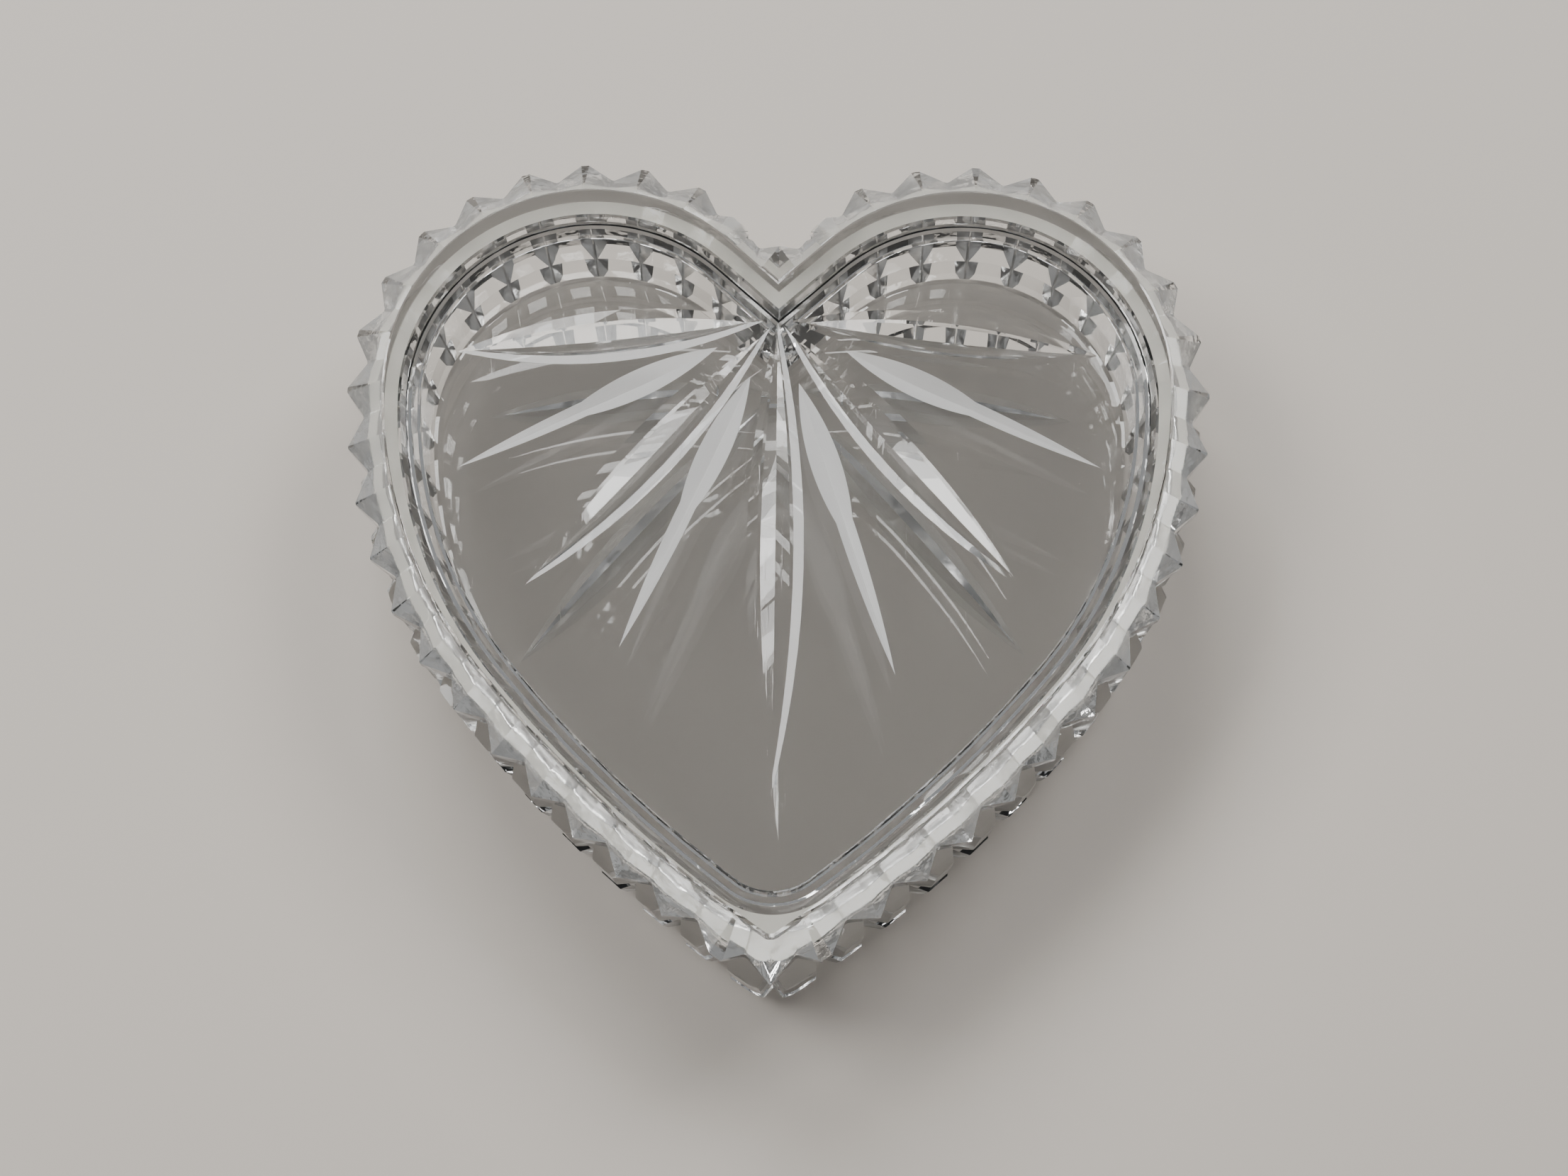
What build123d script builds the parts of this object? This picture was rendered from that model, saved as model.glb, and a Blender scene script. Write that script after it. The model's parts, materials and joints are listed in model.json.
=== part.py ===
from build123d import *
import os
from math import acos, atan2, cos, degrees, radians, sin, tan

# Heart-shaped lidded trinket box in cut crystal: a thick-walled base and a lift-off lid.
# Millimetres, +Z up. The origin is the centre of the footprint, on the surface it stands on.
# Seen from above the point of the heart is towards -Y and the two lobes towards +Y.

os.makedirs("parts", exist_ok=True)

# The heart line is the outline of the lid's flat top. Each half of it is a straight run out
# of the cleft, a round lobe and two flank arcs that meet the other half at the point.
LOBE_CENTRE_X = 24.2
LOBE_RADIUS = 26.0
LOBE_END_ANGLE = 132.0       # where the lobe arc hands over to the straight run, in degrees
SHOULDER_RADIUS = 59.0       # the flank arc next to the lobe
SHOULDER_TURN = 40.0         # how far that arc turns, in degrees
FLANK_RADIUS = 176.0         # the long, nearly straight arc down to the point
POINT_ROUND = 1.0            # radius of the heart line's corner at the point
ORIGIN_SHIFT_Y = 22.245      # from the middle of the footprint to the line of the lobe centres

# Heights of the main levels.
FLOOR_THICKNESS = 6.5
RIM_HEIGHT = 24.0
TOTAL_HEIGHT = 34.0

# Side profiles, as (offset outward from the heart line, height).
BASE_PROFILE = [
    (1.4, 0.0),
    (4.4, 2.2),
    (4.9, 5.4),
    (2.6, 7.6),
    (5.0, 10.0),
    (5.4, 20.8),
    (0.9, RIM_HEIGHT),
]
LID_PROFILE = [
    (1.0, RIM_HEIGHT),
    (5.6, 27.6),
    (5.6, 28.8),
    (0.6, 33.3),
    (0.0, TOTAL_HEIGHT),
]

# The hollow of the base, drafted so that it narrows towards the floor.
HOLLOW_RIM_OFFSET = -0.9
HOLLOW_FLOOR_OFFSET = -3.4
HOLLOW_POINT_ROUND = 11.4    # radius its corner over the point would have at the heart line
HOLLOW_FLOOR_FILLET = 1.0

# The ring under the lid that keeps it from sliding off the rim.
RING_DEPTH = 2.2
RING_OUTER_OFFSET = -1.8
RING_INNER_OFFSET = -3.8
RING_DRAFT = 0.3

# Teeth round the lid and studs round the base, half a pitch out of step with each other.
TEETH_PER_HALF = 23          # one tooth stands on the cleft and one on the point
TEETH_LINE_OFFSET = 2.8      # the teeth are evenly spaced along the outline at this offset
CORNER_REACH = 0.1           # nearer to the cleft or the point than this is on the corner
NOTCH_HALF_ANGLE = 53.0
NOTCH_ROOT = 3.2             # offset of the root line of the notches between the teeth
GROOVE_HALF_ANGLE = 37.0
GROOVE_ROOT = 2.2            # offset of the root line of the grooves between the studs
ON_THE_TEETH = 0.0           # cutters in line with the lid's teeth
BETWEEN_TEETH = 0.5          # cutters midway between them
NOTCH_REACH = 4.2            # how far each V cutter reaches outward from its root line
GROOVE_REACH = 4.0
CUTTER_OVERRUN = 1.0

# The fan of leaf-shaped wheel cuts, spreading from a spot just inside the cleft.
# Each cut is (direction from -Y towards +X in degrees, start, end, depth), with the two
# distances measured from the spot where the fan begins.
FAN_Y = 8.4
CLEAR_CUTS = [
    (0.0, 1.5, 60.0, 1.7),
    (-41.5, 2.5, 46.0, 1.6),
    (41.5, 2.5, 46.0, 1.6),
    (-83.5, 3.0, 40.0, 1.6),
    (83.5, 3.0, 40.0, 1.6),
]
MATT_CUTS = [
    (-24.0, 8.0, 46.5, 1.2),
    (18.0, 8.0, 48.0, 1.2),
    (-63.5, 9.0, 37.5, 1.2),
    (64.5, 8.0, 36.5, 1.2),
]
UNDERSIDE_CUTS = [
    (0.0, 3.0, 57.0, 1.7),
    (-41.5, 4.0, 51.0, 1.7),
    (41.5, 4.0, 49.0, 1.7),
    (-83.5, 4.0, 39.0, 1.6),
    (83.5, 4.0, 39.0, 1.6),
]
CUT_HALF_ANGLE = 57.0        # half the angle of the wheel's V edge
CUTTER_HEIGHT_FACTOR = 3.0   # height of the wheel's V edge, in depths of its cut
CUTTER_SWING_FACTOR = 1.3    # how far the wheel's section is turned, in half lengths of its cut


def shoulder_centre():
    """Centre of the flank arc next to the lobe: both are upright where they meet."""
    return LOBE_CENTRE_X + LOBE_RADIUS - SHOULDER_RADIUS, 0.0


def flank_centre():
    """Centre of the long flank arc, tangent to the shoulder arc where that one ends."""
    x, y = shoulder_centre()
    reach = FLANK_RADIUS - SHOULDER_RADIUS
    turn = radians(SHOULDER_TURN)
    return x - reach * cos(turn), y + reach * sin(turn)


def half_outline(offset):
    """Right half of the heart outline at an offset, from the cleft to the point."""
    lobe_radius = LOBE_RADIUS + offset
    end = radians(LOBE_END_ANGLE)
    lobe_start = Vector(LOBE_CENTRE_X + lobe_radius * cos(end), lobe_radius * sin(end))
    cleft_y = lobe_start.Y - lobe_start.X / tan(end - radians(90.0))
    cleft = Vector(0.0, cleft_y)
    flank_x, flank_y = flank_centre()
    flank_radius = FLANK_RADIUS + offset
    point_angle = degrees(acos(-flank_x / flank_radius))
    edges = [
        Line(cleft, lobe_start),
        CenterArc((LOBE_CENTRE_X, 0.0), lobe_radius, LOBE_END_ANGLE, -LOBE_END_ANGLE),
        CenterArc(shoulder_centre(), SHOULDER_RADIUS + offset, 0.0, -SHOULDER_TURN),
        CenterArc((flank_x, flank_y), flank_radius, -SHOULDER_TURN, SHOULDER_TURN - point_angle),
    ]
    return Wire([edge.moved(Location((0.0, ORIGIN_SHIFT_Y, 0.0))) for edge in edges])


def outline_face(offset, height, point_round):
    """Flat heart-shaped face at an offset from the heart line, at a height.

    Its corner at the point of the heart is rounded off, concentric from one offset to the
    next, with the radius point_round where it would cross the heart line.
    """
    right = half_outline(offset)
    left = right.mirror(Plane.YZ)
    face = Face(Wire([*right.edges(), *left.edges()]))
    face = fillet(face.vertices().sort_by(Axis.Y)[0], point_round + offset).faces()[0]
    return face.moved(Location((0.0, 0.0, height)))


def heart_solid(profile, point_round=POINT_ROUND):
    """Solid whose side follows a profile of (offset, height) pairs all round the heart."""
    sections = [outline_face(offset, height, point_round) for offset, height in profile]
    return loft(sections, ruled=True)


def v_cutter(low, high, outward, half_angle, reach):
    """Wedge with its edge along the line from low to high, opening outward."""
    edge_plane = Plane(origin=low, x_dir=outward, z_dir=high - low)
    half_width = reach * tan(radians(half_angle))
    section = edge_plane * Polygon((0, 0), (reach, -half_width), (reach, half_width), align=None)
    return extrude(section, amount=(high - low).length)


def outward_at(half, distance):
    """Direction straight out of the heart at a distance along its half outline.

    At and past its ends, where the outline turns a corner on the Y axis, it is along that axis.
    """
    if distance < CORNER_REACH:
        return Vector(0.0, 1.0)
    if distance > half.length - CORNER_REACH:
        return Vector(0.0, -1.0)
    tangent = half.tangent_at(distance, PositionMode.LENGTH)
    return Vector(-tangent.Y, tangent.X)


def stations(first):
    """Places all round the heart, one tooth pitch apart, as (point, outward direction).

    The first one is that many pitches from the cleft. Each direction is midway between the
    directions half a pitch to either side, so that a cut fits between its two neighbours.
    """
    half = half_outline(TEETH_LINE_OFFSET)
    pitch = half.length / TEETH_PER_HALF
    places = []
    for step in range(int(TEETH_PER_HALF - first) + 1):
        distance = min((first + step) * pitch, half.length)
        point = half.position_at(distance, PositionMode.LENGTH)
        if point.X < CORNER_REACH:
            places.append((point, outward_at(half, distance)))
            continue
        before = outward_at(half, distance - pitch / 2.0)
        after = outward_at(half, distance + pitch / 2.0)
        outward = (before + after).normalized()
        places.append((point, outward))
        places.append((Vector(-point.X, point.Y), Vector(-outward.X, outward.Y)))
    return places


def upright_cutters(first, bottom, top, half_angle, reach):
    """Wedges cut inward round the heart, each with its root line between two (offset, height)
    pairs, lengthened past both ends."""
    cutters = []
    for point, outward in stations(first):
        low = point + outward * (bottom[0] - TEETH_LINE_OFFSET) + Vector(0.0, 0.0, bottom[1])
        high = point + outward * (top[0] - TEETH_LINE_OFFSET) + Vector(0.0, 0.0, top[1])
        overrun = (high - low).normalized() * CUTTER_OVERRUN
        cutters.append(v_cutter(low - overrun, high + overrun, outward, half_angle, reach))
    return cutters


def wheel_cut(direction, start, end, depth, surface_height, from_below=False):
    """Leaf-shaped V cut in a level surface, as a grinding wheel with a V edge leaves it.

    The wheel is plunged into the surface until the cut is as long as asked, so the cut is
    deepest and widest in its middle and runs out to a point at both ends.
    """
    half_length = (end - start) / 2.0
    wheel_radius = (half_length ** 2 + depth ** 2) / (2.0 * depth)
    edge_height = CUTTER_HEIGHT_FACTOR * depth
    edge_width = edge_height * tan(radians(CUT_HALF_ANGLE))
    swing = degrees(atan2(half_length, wheel_radius - depth)) * CUTTER_SWING_FACTOR
    side = -1.0 if from_below else 1.0
    heading = radians(direction)
    along = Vector(sin(heading), -cos(heading))
    middle = Vector(0.0, FAN_Y + ORIGIN_SHIFT_Y) + along * ((start + end) / 2.0)
    centre = middle + Vector(0.0, 0.0, surface_height + side * (wheel_radius - depth))
    section_plane = Plane(origin=centre, x_dir=Vector(0.0, 0.0, -side), z_dir=along)
    section = section_plane * Polygon(
        (wheel_radius, 0.0),
        (wheel_radius - edge_height, edge_width),
        (wheel_radius - edge_height, -edge_width),
        align=None,
    )
    axle = Axis(centre, along.cross(Vector(0.0, 0.0, 1.0)))
    return revolve(section.rotate(axle, -swing), axle, revolution_arc=2.0 * swing)


def make_base():
    """Thick-walled heart bowl with two tiers of studs and a cut fan under its floor."""
    body = heart_solid(BASE_PROFILE)
    hollow = heart_solid(
        [(HOLLOW_FLOOR_OFFSET, FLOOR_THICKNESS), (HOLLOW_RIM_OFFSET, RIM_HEIGHT)],
        HOLLOW_POINT_ROUND,
    )
    floor_edges = hollow.faces().sort_by(Axis.Z)[0].edges()
    hollow = fillet(floor_edges, HOLLOW_FLOOR_FILLET)
    grooves = upright_cutters(
        ON_THE_TEETH,
        (GROOVE_ROOT, 0.0),
        (GROOVE_ROOT, RIM_HEIGHT),
        GROOVE_HALF_ANGLE,
        GROOVE_REACH,
    )
    fan = [wheel_cut(*cut, surface_height=0.0, from_below=True) for cut in UNDERSIDE_CUTS]
    return body - hollow - grooves - fan


def make_lid():
    """Solid crystal lid: toothed edge, cut fan on top and a locating ring below."""
    body = heart_solid(LID_PROFILE)
    notches = upright_cutters(
        BETWEEN_TEETH,
        (NOTCH_ROOT, RIM_HEIGHT),
        (NOTCH_ROOT, TOTAL_HEIGHT),
        NOTCH_HALF_ANGLE,
        NOTCH_REACH,
    )
    fan = [wheel_cut(*cut, surface_height=TOTAL_HEIGHT) for cut in CLEAR_CUTS + MATT_CUTS]
    ring_bottom = RIM_HEIGHT - RING_DEPTH
    ring = heart_solid(
        [(RING_OUTER_OFFSET - RING_DRAFT, ring_bottom), (RING_OUTER_OFFSET, RIM_HEIGHT)],
        HOLLOW_POINT_ROUND,
    )
    ring -= heart_solid(
        [(RING_INNER_OFFSET + RING_DRAFT, ring_bottom), (RING_INNER_OFFSET, RIM_HEIGHT)],
        HOLLOW_POINT_ROUND,
    )
    return body - notches - fan + ring


export_step(make_base(), "parts/box_base.step")
export_step(make_lid(), "parts/lid.step")
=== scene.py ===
import json
from math import acos, atan2, cos, hypot, pi, radians, sin, tan

import bmesh
import bpy
from mathutils import Matrix, Vector

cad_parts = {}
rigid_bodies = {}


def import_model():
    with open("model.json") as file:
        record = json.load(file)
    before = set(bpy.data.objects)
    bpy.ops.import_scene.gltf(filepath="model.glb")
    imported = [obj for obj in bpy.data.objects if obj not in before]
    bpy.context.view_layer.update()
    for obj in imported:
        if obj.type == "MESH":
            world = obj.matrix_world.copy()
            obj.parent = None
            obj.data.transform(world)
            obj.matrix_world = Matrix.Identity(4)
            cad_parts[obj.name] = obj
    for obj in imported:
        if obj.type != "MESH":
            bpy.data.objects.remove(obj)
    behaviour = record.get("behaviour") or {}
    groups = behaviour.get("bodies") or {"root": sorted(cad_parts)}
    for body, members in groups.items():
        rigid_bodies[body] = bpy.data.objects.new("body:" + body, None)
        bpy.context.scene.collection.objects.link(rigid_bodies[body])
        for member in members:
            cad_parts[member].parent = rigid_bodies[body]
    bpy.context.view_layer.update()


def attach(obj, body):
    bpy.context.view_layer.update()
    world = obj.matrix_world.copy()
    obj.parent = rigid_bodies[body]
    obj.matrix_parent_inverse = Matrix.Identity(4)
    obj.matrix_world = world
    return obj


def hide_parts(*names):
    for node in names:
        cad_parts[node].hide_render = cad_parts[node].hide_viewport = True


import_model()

# Heart-shaped trinket box in cut crystal. Sizes are in millimetres and are turned into metres
# by MM where a mesh is made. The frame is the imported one: +Z up, the point of the heart
# towards -Y, the lobes towards +Y.
MM = 0.001

# ---------------------------------------------------------------------------------------------
# Driving sizes
# ---------------------------------------------------------------------------------------------

# The heart line is the outline of the lid's flat top. Each half is a straight run out of the
# cleft, a round lobe and two flank arcs. "Offset" always means outward from the heart line.
LOBE_CENTRE_X = 24.2
LOBE_RADIUS = 26.0
LOBE_TURN = radians(132.0)       # the lobe arc runs from the widest place round to here
SHOULDER_RADIUS = 59.0
SHOULDER_TURN = radians(40.0)
FLANK_RADIUS = 176.0
POINT_ROUND = 1.0                # radius of the heart line's corner at the point
LOBE_LINE_Y = 22.245             # where the line through the lobe centres crosses the Y axis
CLEFT_RUN = 18.0                 # the straight run is drawn this long, past the Y axis
POINT_TURN = radians(96.0)       # the corner at the point is spun to here, past the Y axis

# Steps of each spun stretch of the outline, and of a wheel's path.
SHOULDER_STEPS = 20
FLANK_STEPS = 12
POINT_STEPS = 9
LOBE_STEPS = 48
WHEEL_STEPS = 40

# Tolerances in metres: for picking a level, closing the mirror's seam, and merging points.
LEVEL_TOLERANCE = 0.001 * MM
SEAM_TOLERANCE = 0.005 * MM
MERGE_DISTANCE = 0.002 * MM
FACE_LEVEL_TOLERANCE = 0.02 * MM
LEVEL_FACE = 0.999               # a face is level when its normal rises or falls this much

FLOOR_THICKNESS = 6.5
RIM_HEIGHT = 24.0
TOTAL_HEIGHT = 34.0
SEAT_GAP = 0.06                  # air between the ground rim and the lid that rests on it

# Side profiles as (offset, height).
BASE_PROFILE = [
    (1.4, 0.0),
    (4.4, 2.2),
    (4.9, 5.4),
    (2.6, 7.6),
    (5.0, 10.0),
    (5.4, 20.8),
    (0.9, RIM_HEIGHT),
]
# The lid is a toothed band with a smooth plate standing a little above it.
BAND_PROFILE = [
    (1.0, RIM_HEIGHT + SEAT_GAP),
    (5.6, 27.6),
    (5.6, 28.8),
    (0.6, 33.3),
    (-0.8, 33.5),
]
PLATE_PROFILE = [
    (0.4, 26.0),
    (0.55, 32.9),
    (0.35, 33.6),
    (0.0, TOTAL_HEIGHT),
]
HOLLOW_PROFILE = [
    (-4.4, FLOOR_THICKNESS),
    (-3.8, FLOOR_THICKNESS + 0.3),
    (-3.4, FLOOR_THICKNESS + 1.0),
    (-1.1, RIM_HEIGHT - 0.3),
    (-0.8, RIM_HEIGHT),
    (-0.8, RIM_HEIGHT + 2.0),
]
RING_BOTTOM = RIM_HEIGHT - 2.2
RING_PROFILE = [
    (-3.8, RIM_HEIGHT + 1.0),
    (-3.7, RING_BOTTOM + 0.5),
    (-3.2, RING_BOTTOM),
    (-2.4, RING_BOTTOM),
    (-2.0, RING_BOTTOM + 0.4),
    (-1.8, RIM_HEIGHT + 1.0),
]
HOLLOW_POINT_ROUND = 11.4        # radius its corner over the point would have at the heart line

# Teeth round the lid, and studs round the base half a pitch out of step with them.
TEETH_PER_HALF = 23
TEETH_LINE_OFFSET = 2.8
ON_AXIS = 0.1                    # a station this near the Y axis, in millimetres, is put on it
CUTTER_OVERRUN = 1.0             # a V cutter runs on this far past both ends of its root

# Each V cutter: half angle, root line, how far it opens outward from its root, the rounding of
# the root, and the first station in pitches from the cleft.
NOTCH_ANGLE = radians(58.0)
NOTCH_ROOT = [(3.2, RIM_HEIGHT), (3.2, TOTAL_HEIGHT)]
NOTCH_REACH = 4.2
NOTCH_ROUND = 0.35
NOTCH_START = 0.5
VALLEY_ANGLE = radians(74.0)     # the shallow valleys that give each tooth a hipped top
VALLEY_ROOT = [(7.0, 26.04), (-0.6, 32.88)]
VALLEY_REACH = 1.6
VALLEY_ROUND = 0.3
GROOVE_ANGLE = radians(37.0)
GROOVE_ROOT = [(2.2, 0.0), (2.2, RIM_HEIGHT)]
GROOVE_REACH = 4.0
GROOVE_ROUND = 0.4
GROOVE_START = 0.0

# Wheel cuts: (direction from -Y towards +X in degrees, start, end, depth) from the fan's spot.
# A matt cut has a broad head and a long thin tail, each with its own end and depth.
FAN_Y = 8.4 + LOBE_LINE_Y
CLEAR_CUTS = [
    (0.0, 1.5, 60.0, 1.7),
    (-41.5, 2.5, 46.0, 1.6),
    (41.5, 2.5, 46.0, 1.6),
    (-83.5, 3.0, 40.0, 1.6),
    (83.5, 3.0, 40.0, 1.6),
]
MATT_CUTS = [
    (-24.0, 8.4, (31.0, 1.25), (47.5, 0.7)),
    (18.0, 9.0, (32.0, 1.25), (49.0, 0.7)),
    (-63.5, 8.6, (31.0, 1.2), (45.0, 0.65)),
    (64.5, 9.6, (31.0, 1.2), (45.5, 0.65)),
]
UNDERSIDE_CUTS = [
    (0.0, 3.0, 57.0, 1.7),
    (-41.5, 4.0, 51.0, 1.7),
    (41.5, 4.0, 49.0, 1.7),
    (-83.5, 4.0, 39.0, 1.6),
    (83.5, 4.0, 39.0, 1.6),
]
CUT_ANGLE = radians(57.0)
UNDERSIDE_CUT_ANGLE = radians(47.0)
SOFT_GROWTH = 1.2                # how much longer a blunter wheel's cut is, per extra half width
WHEEL_EDGE_FACTOR = 3.0          # height of a wheel's V edge as a multiple of the cut's depth
WHEEL_SWING_FACTOR = 1.3         # its path as a multiple of the stretch that touches the surface
SMOOTH_ANGLE = radians(8.0)      # edges sharper than this stay crisp

# A three-sided circle of radius 1 is this long, and half as wide as this.
TRIANGLE_LENGTH = 1.5
TRIANGLE_HALF_WIDTH = sin(radians(60.0))

# Polishing softens the edges of a clear cut: (angle of a blunter wheel, extra half width).
SOFT_EDGES = [(radians(67.0), 0.4), (radians(77.0), 1.0)]

SHOULDER_CENTRE = Vector((LOBE_CENTRE_X + LOBE_RADIUS - SHOULDER_RADIUS, LOBE_LINE_Y, 0.0))
FLANK_CENTRE = SHOULDER_CENTRE - (FLANK_RADIUS - SHOULDER_RADIUS) * Vector(
    (cos(SHOULDER_TURN), -sin(SHOULDER_TURN), 0.0)
)
LOBE_CENTRE = Vector((LOBE_CENTRE_X, LOBE_LINE_Y, 0.0))


# ---------------------------------------------------------------------------------------------
# Working in edit mode
# ---------------------------------------------------------------------------------------------

def deselect_all():
    """Leave nothing selected, whatever was."""
    for item in bpy.context.view_layer.objects.selected:
        item.select_set(False)


def only(piece):
    """Make one object the only selected one, and the active one."""
    deselect_all()
    piece.select_set(True)
    bpy.context.view_layer.objects.active = piece


def edit(piece):
    """Open an object in edit mode with nothing selected."""
    only(piece)
    bpy.ops.object.mode_set(mode="EDIT")
    bpy.ops.mesh.select_mode(type="VERT")
    bpy.ops.mesh.select_all(action="DESELECT")


def done():
    """Leave edit mode."""
    bpy.ops.object.mode_set(mode="OBJECT")


def pick(piece, kind, test):
    """Select the vertices, edges or faces of the piece in edit mode that pass a test."""
    mesh = bmesh.from_edit_mesh(piece.data)
    for element in {"VERT": mesh.verts, "EDGE": mesh.edges, "FACE": mesh.faces}[kind]:
        if test(element):
            element.select_set(True)
    mesh.select_flush_mode()
    bmesh.update_edit_mesh(piece.data)


def apply_modifier(piece, kind, **settings):
    """Add a modifier with its settings and apply it."""
    only(piece)
    modifier = piece.modifiers.new(kind.title(), kind)
    for name, value in settings.items():
        setattr(modifier, name, value)
    bpy.ops.object.modifier_apply(modifier=modifier.name)


def copy_of(piece, name):
    """A copy of a piece, with a mesh of its own."""
    twin = piece.copy()
    twin.data = piece.data.copy()
    twin.name = name
    bpy.context.collection.objects.link(twin)
    return twin


def join(pieces):
    """Join several pieces into the first one."""
    deselect_all()
    for piece in pieces:
        piece.select_set(True)
    bpy.context.view_layer.objects.active = pieces[0]
    bpy.ops.object.join()
    return pieces[0]


def settle(piece):
    """Put a piece's place into its mesh, so that its object sits unturned at the origin."""
    only(piece)
    bpy.ops.object.transform_apply(location=True, rotation=True, scale=True)


def face_outward(piece):
    """Merge doubled points and turn every face outward."""
    edit(piece)
    bpy.ops.mesh.select_all(action="SELECT")
    bpy.ops.mesh.remove_doubles(threshold=MERGE_DISTANCE)
    bpy.ops.mesh.normals_make_consistent(inside=False)
    done()


# ---------------------------------------------------------------------------------------------
# The heart shape
# ---------------------------------------------------------------------------------------------

def flank_reach(radius):
    """How far round a flank arc of this radius gets before it crosses the Y axis."""
    return acos(-FLANK_CENTRE.x / radius)


def draw_profile(name, profile):
    """Draw a side profile at the widest place of the right half, one point after another."""
    widest = LOBE_CENTRE_X + LOBE_RADIUS
    offset, height = profile[0]
    deselect_all()
    bpy.ops.mesh.primitive_plane_add(
        size=MM, location=((widest + offset) * MM, LOBE_LINE_Y * MM, height * MM)
    )
    piece = bpy.context.object
    piece.name = name
    settle(piece)
    edit(piece)
    bpy.ops.mesh.select_all(action="SELECT")
    bpy.ops.mesh.merge(type="CENTER")
    for next_offset, next_height in profile[1:]:
        step = ((next_offset - offset) * MM, 0.0, (next_height - height) * MM)
        bpy.ops.mesh.extrude_vertices_move(TRANSFORM_OT_translate={"value": step})
        offset, height = next_offset, next_height
    return piece


def spin_about(centre, angle, steps):
    """Spin what is selected about an upright line through a centre, anticlockwise from above."""
    bpy.ops.mesh.spin(steps=steps, angle=-angle, center=tuple(centre * MM), axis=(0.0, 0.0, 1.0))


def heart_shell(name, profile, point_round):
    """Sweep a profile round the whole heart, as an open shell.

    The profile is spun round the centres of the shoulder, the flank, the corner at the point
    and the lobe, and run straight into the cleft; the other half is mirrored. The corner is
    concentric for every offset, with the radius point_round on the heart line.
    """
    piece = draw_profile(name, profile)
    bpy.ops.mesh.select_all(action="SELECT")
    spin_about(SHOULDER_CENTRE, -SHOULDER_TURN, SHOULDER_STEPS)
    reach = FLANK_RADIUS - point_round
    stop = flank_reach(reach)
    spin_about(FLANK_CENTRE, SHOULDER_TURN - stop, FLANK_STEPS)
    point_centre = Vector((0.0, FLANK_CENTRE.y - reach * sin(stop), 0.0))
    spin_about(point_centre, stop - POINT_TURN, POINT_STEPS)
    bpy.ops.mesh.select_all(action="DESELECT")
    pick(piece, "VERT", lambda v: (
        abs(v.co.y - LOBE_LINE_Y * MM) < LEVEL_TOLERANCE and v.co.x > 0.0
    ))
    spin_about(LOBE_CENTRE, LOBE_TURN, LOBE_STEPS)
    into_the_cleft = CLEFT_RUN * MM * Vector((-sin(LOBE_TURN), cos(LOBE_TURN), 0.0))
    bpy.ops.mesh.extrude_region_move(TRANSFORM_OT_translate={"value": into_the_cleft})
    done()
    apply_modifier(
        piece, "MIRROR", use_bisect_axis=(True, False, False), bisect_threshold=LEVEL_TOLERANCE,
        merge_threshold=SEAM_TOLERANCE,
    )
    return piece


def close_level(piece, height):
    """Fill the open edge loop that lies at a height."""
    edit(piece)
    bpy.ops.mesh.select_mode(type="EDGE")
    pick(piece, "EDGE", lambda e: e.is_boundary and all(
        abs(v.co.z - height * MM) < LEVEL_TOLERANCE for v in e.verts
    ))
    bpy.ops.mesh.edge_face_add()
    done()


def heart_solid(name, profile, point_round=POINT_ROUND):
    """A heart swept from an open profile and closed with a flat face below and above."""
    piece = heart_shell(name, profile, point_round)
    close_level(piece, profile[0][1])
    close_level(piece, profile[-1][1])
    face_outward(piece)
    return piece


def heart_ring(name, profile):
    """A heart ring: its profile starts and ends at the same height."""
    piece = heart_shell(name, profile, HOLLOW_POINT_ROUND)
    edit(piece)
    bpy.ops.mesh.select_mode(type="EDGE")
    pick(piece, "EDGE", lambda e: e.is_boundary)
    bpy.ops.mesh.bridge_edge_loops()
    done()
    face_outward(piece)
    return piece


def along_outline(distance, offset):
    """Point and outward direction at a distance from the cleft along the right half."""
    lobe = LOBE_RADIUS + offset
    run_end = LOBE_CENTRE + lobe * Vector((cos(LOBE_TURN), sin(LOBE_TURN), 0.0))
    run_way = Vector((sin(LOBE_TURN), -cos(LOBE_TURN), 0.0))
    run_length = run_end.x / run_way.x
    if distance < run_length:
        outward = Vector((cos(LOBE_TURN), sin(LOBE_TURN), 0.0))
        return run_end + (distance - run_length) * run_way, outward
    left = distance - run_length
    turn = LOBE_TURN
    arcs = [
        (LOBE_CENTRE, lobe, LOBE_TURN),
        (SHOULDER_CENTRE, SHOULDER_RADIUS + offset, SHOULDER_TURN),
        (FLANK_CENTRE, FLANK_RADIUS + offset, pi),
    ]
    for centre, radius, sweep in arcs:
        if left < radius * sweep:
            angle = turn - left / radius
            outward = Vector((cos(angle), sin(angle), 0.0))
            return centre + radius * outward, outward
        left -= radius * sweep
        turn -= sweep


def half_length(offset):
    """Length of half the outline, from the cleft to the point of the heart."""
    lobe = LOBE_RADIUS + offset
    run = (LOBE_CENTRE_X + lobe * cos(LOBE_TURN)) / sin(LOBE_TURN)
    flank = FLANK_RADIUS + offset
    flank_turn = flank_reach(flank) - SHOULDER_TURN
    shoulder = (SHOULDER_RADIUS + offset) * SHOULDER_TURN
    return run + lobe * LOBE_TURN + shoulder + flank * flank_turn


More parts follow.
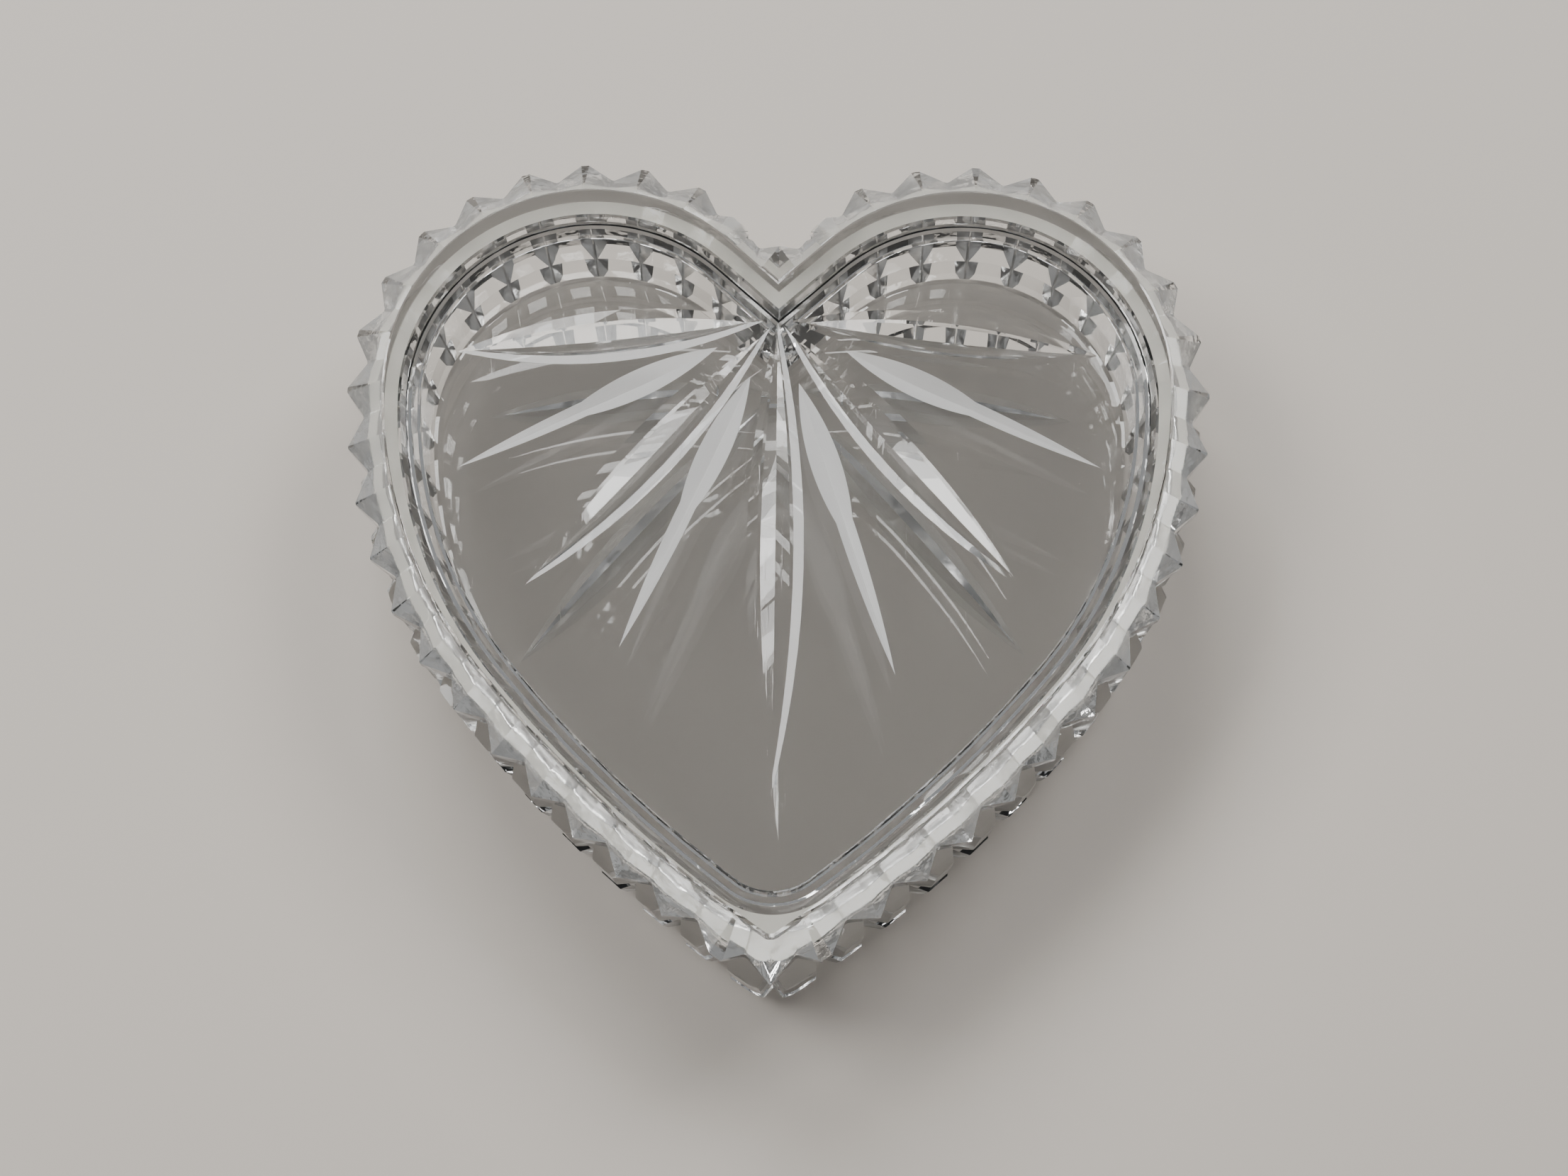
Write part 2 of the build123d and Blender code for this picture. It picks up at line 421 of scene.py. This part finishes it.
def stations(first):
    """Places round the heart one tooth pitch apart, the first so many pitches from the cleft.

    Each outward direction is midway between those half a pitch to either side.
    """
    length = half_length(TEETH_LINE_OFFSET)
    pitch = length / TEETH_PER_HALF
    up, down = Vector((0.0, 1.0, 0.0)), Vector((0.0, -1.0, 0.0))

    def outward_at(distance):
        if distance < ON_AXIS:
            return up
        if distance > length - ON_AXIS:
            return down
        return along_outline(distance, TEETH_LINE_OFFSET)[1]

    places = []
    for step in range(int(TEETH_PER_HALF - first) + 1):
        distance = (first + step) * pitch
        point, _ = along_outline(distance, TEETH_LINE_OFFSET)
        if abs(point.x) < ON_AXIS:
            places.append((Vector((0.0, point.y, 0.0)), outward_at(distance)))
            continue
        before, after = outward_at(distance - pitch / 2), outward_at(distance + pitch / 2)
        outward = (before + after).normalized()
        places.append((point, outward))
        places.append((Vector((-point.x, point.y, 0.0)), Vector((-outward.x, outward.y, 0.0))))
    return places


# ---------------------------------------------------------------------------------------------
# Cutters
# ---------------------------------------------------------------------------------------------

def v_cutter(name, reach, angle, length, root_round):
    """Wedge with its root along the Z axis from the origin up, opening towards +X.

    It starts as a three-sided prism, and its root is rounded as a worn mould's is.
    """
    deselect_all()
    bpy.ops.mesh.primitive_cylinder_add(
        vertices=3, radius=MM, depth=MM, location=(MM, 0.0, 0.5 * MM), rotation=(0.0, 0.0, pi / 2)
    )
    wedge = bpy.context.object
    wedge.name = name
    settle(wedge)
    edit(wedge)
    bpy.ops.mesh.select_all(action="SELECT")
    bpy.ops.transform.resize(
        value=(reach / TRIANGLE_LENGTH, reach * tan(angle) / TRIANGLE_HALF_WIDTH, length),
        center_override=(0.0, 0.0, 0.0),
    )
    bpy.ops.mesh.select_all(action="DESELECT")
    bpy.ops.mesh.select_mode(type="EDGE")
    pick(wedge, "EDGE", lambda e: all(abs(v.co.x) < 0.01 * MM for v in e.verts))
    bpy.ops.mesh.bevel(offset=root_round * MM, segments=3, affect="EDGES")
    done()
    return wedge


def ring_of_cutters(name, first, root, reach, angle, root_round):
    """One V cutter copied to every station round the heart, joined into one object."""
    (low_offset, low_height), (high_offset, high_height) = root
    length = hypot(high_offset - low_offset, high_height - low_height) + 2 * CUTTER_OVERRUN
    wedge = v_cutter(name, reach, angle, length, root_round)
    copies = []
    for point, outward in stations(first):
        low = point + outward * (low_offset - TEETH_LINE_OFFSET) + Vector((0, 0, low_height))
        high = point + outward * (high_offset - TEETH_LINE_OFFSET) + Vector((0, 0, high_height))
        upward = (high - low).normalized()
        low -= CUTTER_OVERRUN * upward
        across = upward.cross(outward).normalized()
        opening = across.cross(upward)
        place = Matrix((opening, across, upward)).transposed().to_4x4()
        place.translation = low * MM
        twin = copy_of(wedge, name)
        twin.matrix_world = place
        settle(twin)
        copies.append(twin)
    bpy.data.objects.remove(wedge)
    return join(copies)


def wheel_cutter(cut, surface, finish, angle=CUT_ANGLE, from_below=False):
    """The path of a grinding wheel with a V edge that is plunged into a level surface."""
    direction, start, end, depth = cut
    half = (end - start) / 2.0
    wheel_radius = (half ** 2 + depth ** 2) / (2.0 * depth)
    edge_height = WHEEL_EDGE_FACTOR * depth
    swing = WHEEL_SWING_FACTOR * atan2(half, wheel_radius - depth)
    side = -1.0 if from_below else 1.0
    heading = radians(direction)
    along = Vector((sin(heading), -cos(heading), 0.0))
    axle = along.cross(Vector((0.0, 0.0, 1.0)))
    middle = Vector((0.0, FAN_Y, surface)) + along * ((start + end) / 2.0)
    centre = middle + Vector((0.0, 0.0, side * (wheel_radius - depth)))
    deselect_all()
    bpy.ops.mesh.primitive_circle_add(
        vertices=3, radius=MM, fill_type="NGON", location=(MM, 0.0, 0.0),
        rotation=(0.0, 0.0, pi / 2),
    )
    cutter = bpy.context.object
    settle(cutter)
    edit(cutter)
    bpy.ops.mesh.select_all(action="SELECT")
    bpy.ops.transform.resize(
        value=(
            edge_height / TRIANGLE_LENGTH, edge_height * tan(angle) / TRIANGLE_HALF_WIDTH, 1.0
        ),
        center_override=(0.0, 0.0, 0.0),
    )
    done()
    inward = Vector((0.0, 0.0, side))
    section = Matrix((inward, inward.cross(along) * -1.0, along)).transposed().to_4x4()
    section.translation = (centre - inward * wheel_radius) * MM
    lead_in = Matrix.Translation(centre * MM) @ Matrix.Rotation(-swing, 4, axle)
    cutter.matrix_world = lead_in @ Matrix.Translation(-centre * MM) @ section
    settle(cutter)
    edit(cutter)
    bpy.ops.mesh.select_all(action="SELECT")
    bpy.ops.mesh.spin(
        steps=WHEEL_STEPS, angle=-2.0 * swing, center=tuple(centre * MM), axis=tuple(axle)
    )
    done()
    face_outward(cutter)
    cutter.data.materials.append(finish)
    return cutter


def cut_away(piece, cutter, cross_cuts=False):
    """Take a cutter's space out of a piece, and keep the cutter's finish on the new faces."""
    apply_modifier(
        piece, "BOOLEAN", object=cutter, operation="DIFFERENCE", solver="EXACT",
        material_mode="TRANSFER", use_self=cross_cuts,
    )
    bpy.data.objects.remove(cutter)


def polished_cut(piece, cut, surface, finish, angle=CUT_ANGLE, from_below=False):
    """A clear wheel cut whose edges polishing has softened, as blunter wheels would."""
    cut_away(piece, wheel_cutter(cut, surface, finish, angle, from_below))
    direction, start, end, depth = cut
    half_width = depth * tan(angle)
    for blunt_angle, margin in SOFT_EDGES:
        growth = SOFT_GROWTH * margin
        blunt_depth = (half_width + margin) / tan(blunt_angle)
        wider = (direction, start - growth, end + growth, blunt_depth)
        cut_away(piece, wheel_cutter(wider, surface, finish, blunt_angle, from_below))


def weld_on(piece, addition):
    """Fuse another solid onto a piece."""
    apply_modifier(
        piece, "BOOLEAN", object=addition, operation="UNION", solver="EXACT",
        material_mode="TRANSFER",
    )
    bpy.data.objects.remove(addition)


# ---------------------------------------------------------------------------------------------
# Finishes
# ---------------------------------------------------------------------------------------------

class Signal:
    """A node's output. Arithmetic on a number adds the Math nodes that work it out."""

    def __init__(self, finish, socket):
        self.finish = finish
        self.socket = socket

    def math(self, operation, *operands):
        inputs = dict(enumerate(operands))
        return self.finish.node("ShaderNodeMath", {"operation": operation}, inputs)

    def __add__(self, other):
        return self.math("ADD", self, other)

    def __mul__(self, other):
        return self.math("MULTIPLY", self, other)

    __radd__ = __add__
    __rmul__ = __mul__


class Finish:
    """A material that is being put together."""

    def __init__(self, name):
        self.material = bpy.data.materials.new(name)
        self.material.use_nodes = True
        self.tree = self.material.node_tree
        self.tree.nodes.clear()

    def node(self, kind, settings=None, inputs=None, output=0):
        """Add a node: its settings first, then its inputs, which are numbers or signals."""
        node = self.tree.nodes.new(kind)
        for name, value in (settings or {}).items():
            setattr(node, name, value)
        for name, value in (inputs or {}).items():
            if isinstance(value, Signal):
                self.tree.links.new(value.socket, node.inputs[name])
            else:
                node.inputs[name].default_value = value
        return Signal(self, node.outputs[output]) if node.outputs else node

    def place(self):
        """Where a point lies on the object, in metres."""
        return self.node("ShaderNodeTexCoord", output="Object")

    def noise(self, scale, detail=2.0, vector=None):
        """Soft random cloud from 0 to 1, with so many features to the metre."""
        return self.node("ShaderNodeTexNoise", {}, {
            "Vector": vector or self.place(), "Scale": scale, "Detail": detail,
        })

    def ramp(self, signal, low, high):
        """0 below one level and 1 above another."""
        return self.node("ShaderNodeMapRange", {"clamp": True}, {
            "Value": signal, "From Min": low, "From Max": high,
        })

    def blend(self, factor, first, second):
        """Mix of two colours, by socket index because the Mix node's sockets share their names."""
        return self.node(
            "ShaderNodeMix", {"data_type": "RGBA"}, {0: factor, 6: first, 7: second}, output=2
        )

    def bump(self, height, distance, under=None):
        """Relief so many metres high, on top of another relief if one is given."""
        inputs = {"Height": height, "Distance": distance, "Strength": 1.0}
        if under:
            inputs["Normal"] = under
        return self.node("ShaderNodeBump", {}, inputs)

    def close(self, shader):
        """Send a shader to the surface and hand over the material."""
        self.node("ShaderNodeOutputMaterial", {}, {"Surface": shader})
        return self.material


CRYSTAL_IOR = 1.545
CLEAR_TINT = (1.0, 1.0, 1.0, 1.0)
FAINT_TINT = (0.985, 0.985, 0.972, 1.0)


def crystal_shader(finish, colour, roughness, relief, transmission=1.0):
    """Lead crystal: bright, colourless and strongly refracting."""
    return finish.node("ShaderNodeBsdfPrincipled", {}, {
        "Base Color": colour,
        "Roughness": roughness,
        "IOR": CRYSTAL_IOR,
        "Transmission Weight": transmission,
        "Normal": relief,
    })


def polished_crystal():
    """Flat polished faces and clear wheel cuts: nearly true, with hairline wear."""
    finish = Finish("polished_crystal")
    sway = finish.noise(55.0, 1.0)
    lines = finish.node("ShaderNodeTexNoise", {}, {
        "Vector": finish.node("ShaderNodeMapping", {}, {
            "Vector": finish.place(), "Rotation": (0.0, 0.0, 0.6), "Scale": (1.0, 0.03, 1.0),
        }),
        "Scale": 2400.0,
        "Detail": 2.0,
    })
    hairlines = finish.ramp(lines, 0.68, 0.74)
    colour = finish.blend(finish.noise(40.0), CLEAR_TINT, FAINT_TINT)
    roughness = finish.ramp(finish.noise(160.0, 4.0), 0.5, 0.8) * 0.02 + hairlines * 0.05
    relief = finish.bump(hairlines, 0.0000015, finish.bump(sway, 0.00002))
    return finish.close(crystal_shader(finish, colour, roughness, relief))


def pressed_crystal():
    """Fire-polished sides and teeth: glossy, but gently rippled where the mould pressed them."""
    finish = Finish("pressed_crystal")
    ripple = finish.noise(230.0, 1.0)
    dimples = finish.noise(820.0, 1.0)
    colour = finish.blend(finish.noise(50.0), CLEAR_TINT, FAINT_TINT)
    roughness = finish.ramp(finish.noise(300.0, 3.0), 0.45, 0.75) * 0.06
    relief = finish.bump(dimples, 0.000012, finish.bump(ripple, 0.00008))
    return finish.close(crystal_shader(finish, colour, roughness, relief))


def matt_cut_crystal():
    """Wheel cuts left unpolished: pale and matt, with fine grinding lines along each cut."""
    finish = Finish("matt_cut_crystal")
    from_fan = finish.node("ShaderNodeVectorMath", {"operation": "SUBTRACT"}, {
        0: finish.place(), 1: (0.0, FAN_Y * MM, 0.0),
    })
    parts = {
        axis: finish.node("ShaderNodeSeparateXYZ", {}, {"Vector": from_fan}, output=axis)
        for axis in ("X", "Y")
    }
    bearing = parts["X"].math("ARCTAN2", parts["X"], parts["Y"])
    lines = finish.node("ShaderNodeTexNoise", {"noise_dimensions": "1D"}, {
        "W": bearing, "Scale": 420.0, "Detail": 3.0,
    })
    grain = finish.noise(5200.0, 2.0)
    colour = finish.blend(
        finish.ramp(lines, 0.3, 0.7), (0.93, 0.93, 0.92, 1.0), (0.80, 0.80, 0.79, 1.0)
    )
    roughness = 0.52 + finish.ramp(grain, 0.3, 0.7) * 0.14
    relief = finish.bump(lines * 0.7 + grain * 0.3, 0.00003)
    return finish.close(crystal_shader(finish, colour, roughness, relief, transmission=0.66))


def ground_crystal():
    """The rim that the lid seats on: ground flat and left matt, its cream tone partly painted
    light.
    """
    finish = Finish("ground_crystal")
    grain = finish.noise(4200.0, 3.0)
    # Partly painted light: the cream, near-white tones stand in for warm light falling through the
    # crystal onto the matt rim; the fine mottling is the grinding's own.
    colour = finish.blend(
        finish.noise(900.0, 3.0), (0.98, 0.95, 0.86, 1.0), (0.93, 0.90, 0.80, 1.0)
    )
    roughness = 0.45 + finish.ramp(grain, 0.3, 0.7) * 0.2
    relief = finish.bump(grain, 0.00002)
    return finish.close(crystal_shader(finish, colour, roughness, relief, transmission=0.35))


def satin_crystal():
    """Notches, valleys, grooves and side cuts underneath: a trace of haze, gently uneven."""
    finish = Finish("satin_crystal")
    patches = finish.noise(260.0, 2.0)
    grain = finish.noise(3800.0, 2.0)
    colour = finish.blend(patches, (0.98, 0.98, 0.965, 1.0), (0.93, 0.93, 0.91, 1.0))
    roughness = 0.04 + finish.ramp(patches, 0.35, 0.65) * 0.14
    relief = finish.bump(grain, 0.000008, finish.bump(finish.noise(520.0, 1.0), 0.00006))
    return finish.close(crystal_shader(finish, colour, roughness, relief, transmission=0.88))


POLISHED = polished_crystal()
PRESSED = pressed_crystal()
SATIN = satin_crystal()
MATT = matt_cut_crystal()
GROUND = ground_crystal()


def set_finish(piece, finish, test):
    """Give a finish to the faces of a piece that pass a test."""
    names = [slot.material.name for slot in piece.material_slots]
    if finish.name not in names:
        piece.data.materials.append(finish)
        names.append(finish.name)
    for face in piece.data.polygons:
        if test(face):
            face.material_index = names.index(finish.name)


def is_level_at(height, upward):
    """Test for the faces that lie flat at a height and look up, or down."""
    sign = 1.0 if upward else -1.0

    def test(face):
        return sign * face.normal.z > LEVEL_FACE and (
            abs(face.center.z - height * MM) < FACE_LEVEL_TOLERANCE
        )
    return test


# ---------------------------------------------------------------------------------------------
# The two pieces
# ---------------------------------------------------------------------------------------------

def drop_chips(piece):
    """Delete the slivers that crossing cuts have freed, as they would fall off the wheel."""
    edit(piece)
    bpy.ops.mesh.separate(type="LOOSE")
    done()
    parts = list(bpy.context.selected_objects)
    largest = max(parts, key=lambda part: len(part.data.vertices))
    piece.data, largest.data = largest.data, piece.data
    piece.select_set(False)
    if len(parts) > 1:
        bpy.ops.object.delete()


def soften(piece):
    """Shade the arcs smooth and leave the cut edges crisp."""
    only(piece)
    bpy.ops.object.shade_smooth_by_angle(angle=SMOOTH_ANGLE)


def make_base():
    """Thick-walled bowl: studs outside in two tiers, a smooth hollow and a fan underneath."""
    base = heart_solid("base_crystal_bowl", BASE_PROFILE)
    base.data.materials.append(PRESSED)
    grooves = ring_of_cutters(
        "groove_wheel", GROOVE_START, GROOVE_ROOT, GROOVE_REACH, GROOVE_ANGLE, GROOVE_ROUND
    )
    grooves.data.materials.append(SATIN)
    cut_away(base, grooves, cross_cuts=True)
    hollow = heart_solid("hollow_form", HOLLOW_PROFILE, HOLLOW_POINT_ROUND)
    hollow.data.materials.append(POLISHED)
    cut_away(base, hollow)
    for cut in UNDERSIDE_CUTS:
        finish = POLISHED if cut[0] == 0.0 else SATIN
        polished_cut(base, cut, 0.0, finish, UNDERSIDE_CUT_ANGLE, from_below=True)
    set_finish(base, POLISHED, is_level_at(0.0, upward=False))
    set_finish(base, GROUND, is_level_at(RIM_HEIGHT, upward=True))
    drop_chips(base)
    face_outward(base)
    soften(base)
    return base


def make_lid():
    """Solid lid: hipped teeth round a smooth plate, nine wheel cuts and a locating ring."""
    lid = heart_solid("lid_crystal_plate", BAND_PROFILE)
    lid.data.materials.append(PRESSED)
    notches = ring_of_cutters(
        "notch_wheel", NOTCH_START, NOTCH_ROOT, NOTCH_REACH, NOTCH_ANGLE, NOTCH_ROUND
    )
    notches.data.materials.append(SATIN)
    cut_away(lid, notches, cross_cuts=True)
    valleys = ring_of_cutters(
        "valley_wheel", NOTCH_START, VALLEY_ROOT, VALLEY_REACH, VALLEY_ANGLE, VALLEY_ROUND
    )
    valleys.data.materials.append(SATIN)
    cut_away(lid, valleys, cross_cuts=True)
    plate = heart_solid("top_plate", PLATE_PROFILE)
    plate.data.materials.append(PRESSED)
    weld_on(lid, plate)
    ring = heart_ring("locating_ring", RING_PROFILE)
    ring.data.materials.append(PRESSED)
    weld_on(lid, ring)
    for cut in CLEAR_CUTS:
        polished_cut(lid, cut, TOTAL_HEIGHT, POLISHED)
    for direction, start, head, tail in MATT_CUTS:
        for end, depth in (head, tail):
            cut_away(lid, wheel_cutter((direction, start, end, depth), TOTAL_HEIGHT, MATT))
    set_finish(lid, POLISHED, is_level_at(TOTAL_HEIGHT, upward=True))
    set_finish(lid, POLISHED, is_level_at(RIM_HEIGHT + SEAT_GAP, upward=False))
    drop_chips(lid)
    face_outward(lid)
    soften(lid)
    return lid


base_piece = make_base()
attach(base_piece, "base_body")
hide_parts("box_base")

lid_piece = make_lid()
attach(lid_piece, "lid_body")
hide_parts("lid")


# ---------------------------------------------------------------------------------------------
# Floor, lights and camera
# ---------------------------------------------------------------------------------------------

FLOOR_SIZE = 12.0                # metres, as are all the sizes of the stage but the camera's
FLOOR_DROP = 0.0002
FLOOR_COLOUR = (0.46, 0.42, 0.375, 1.0)
STUDIO_COLOUR = (0.27, 0.275, 0.28, 1.0)
# Soft lights as (name, place, side, watts).
SOFT_LIGHTS = [
    ("softbox_behind", (-0.22, 0.72, 0.86), 0.5, 10.0),
    ("softbox_left", (-0.62, 0.22, 0.95), 0.45, 8.0),
    ("softbox_right", (0.47, 0.48, 0.88), 0.38, 6.0),
]
CAMERA_AZIMUTH = radians(3.0)
CAMERA_ELEVATION = radians(75.8)
CAMERA_ROLL = radians(-2.44)
CAMERA_TARGET = Vector((0.96, -0.61, 17.0))
CAMERA_DISTANCE = 366.6
CAMERA_LENS = 64.0
CAMERA_CLIP_START = 0.01


def make_floor():
    """Plain pale floor, a hair below the foot."""
    deselect_all()
    bpy.ops.mesh.primitive_plane_add(size=FLOOR_SIZE, location=(0.0, 0.0, -FLOOR_DROP))
    floor = bpy.context.object
    floor.name = "floor"
    settle(floor)
    finish = Finish("pale_floor")
    floor.data.materials.append(finish.close(finish.node("ShaderNodeBsdfPrincipled", {}, {
        "Base Color": FLOOR_COLOUR, "Roughness": 0.7,
    })))


def soft_light(name, place, size, power):
    """Square soft light aimed at the box."""
    data = bpy.data.lights.new(name, "AREA")
    data.size = size
    data.energy = power
    light = bpy.data.objects.new(name, data)
    bpy.context.collection.objects.link(light)
    light.location = place
    light.rotation_euler = (-Vector(place)).to_track_quat("-Z", "Y").to_euler()


def make_lights():
    """Soft lights high behind and to both sides, over an even grey studio."""
    for name, place, size, power in SOFT_LIGHTS:
        soft_light(name, place, size, power)
    world = bpy.data.worlds.new("studio")
    world.use_nodes = True
    world.node_tree.nodes["Background"].inputs["Color"].default_value = STUDIO_COLOUR
    bpy.context.scene.world = world


def make_camera():
    """Looks down steeply on the lid from the point's side."""
    level = cos(CAMERA_ELEVATION)
    back = Vector((
        sin(CAMERA_AZIMUTH) * level, -cos(CAMERA_AZIMUTH) * level, sin(CAMERA_ELEVATION)
    ))
    right = Vector((0.0, 0.0, 1.0)).cross(back).normalized()
    up = back.cross(right)
    turned_right = right * cos(CAMERA_ROLL) + up * sin(CAMERA_ROLL)
    turned_up = up * cos(CAMERA_ROLL) - right * sin(CAMERA_ROLL)
    data = bpy.data.cameras.new("camera")
    data.lens = CAMERA_LENS
    data.clip_start = CAMERA_CLIP_START
    camera = bpy.data.objects.new("camera", data)
    bpy.context.collection.objects.link(camera)
    place = Matrix((turned_right, turned_up, back)).transposed().to_4x4()
    place.translation = (CAMERA_TARGET + CAMERA_DISTANCE * back) * MM
    camera.matrix_world = place
    bpy.context.scene.camera = camera


make_floor()
make_lights()
make_camera()
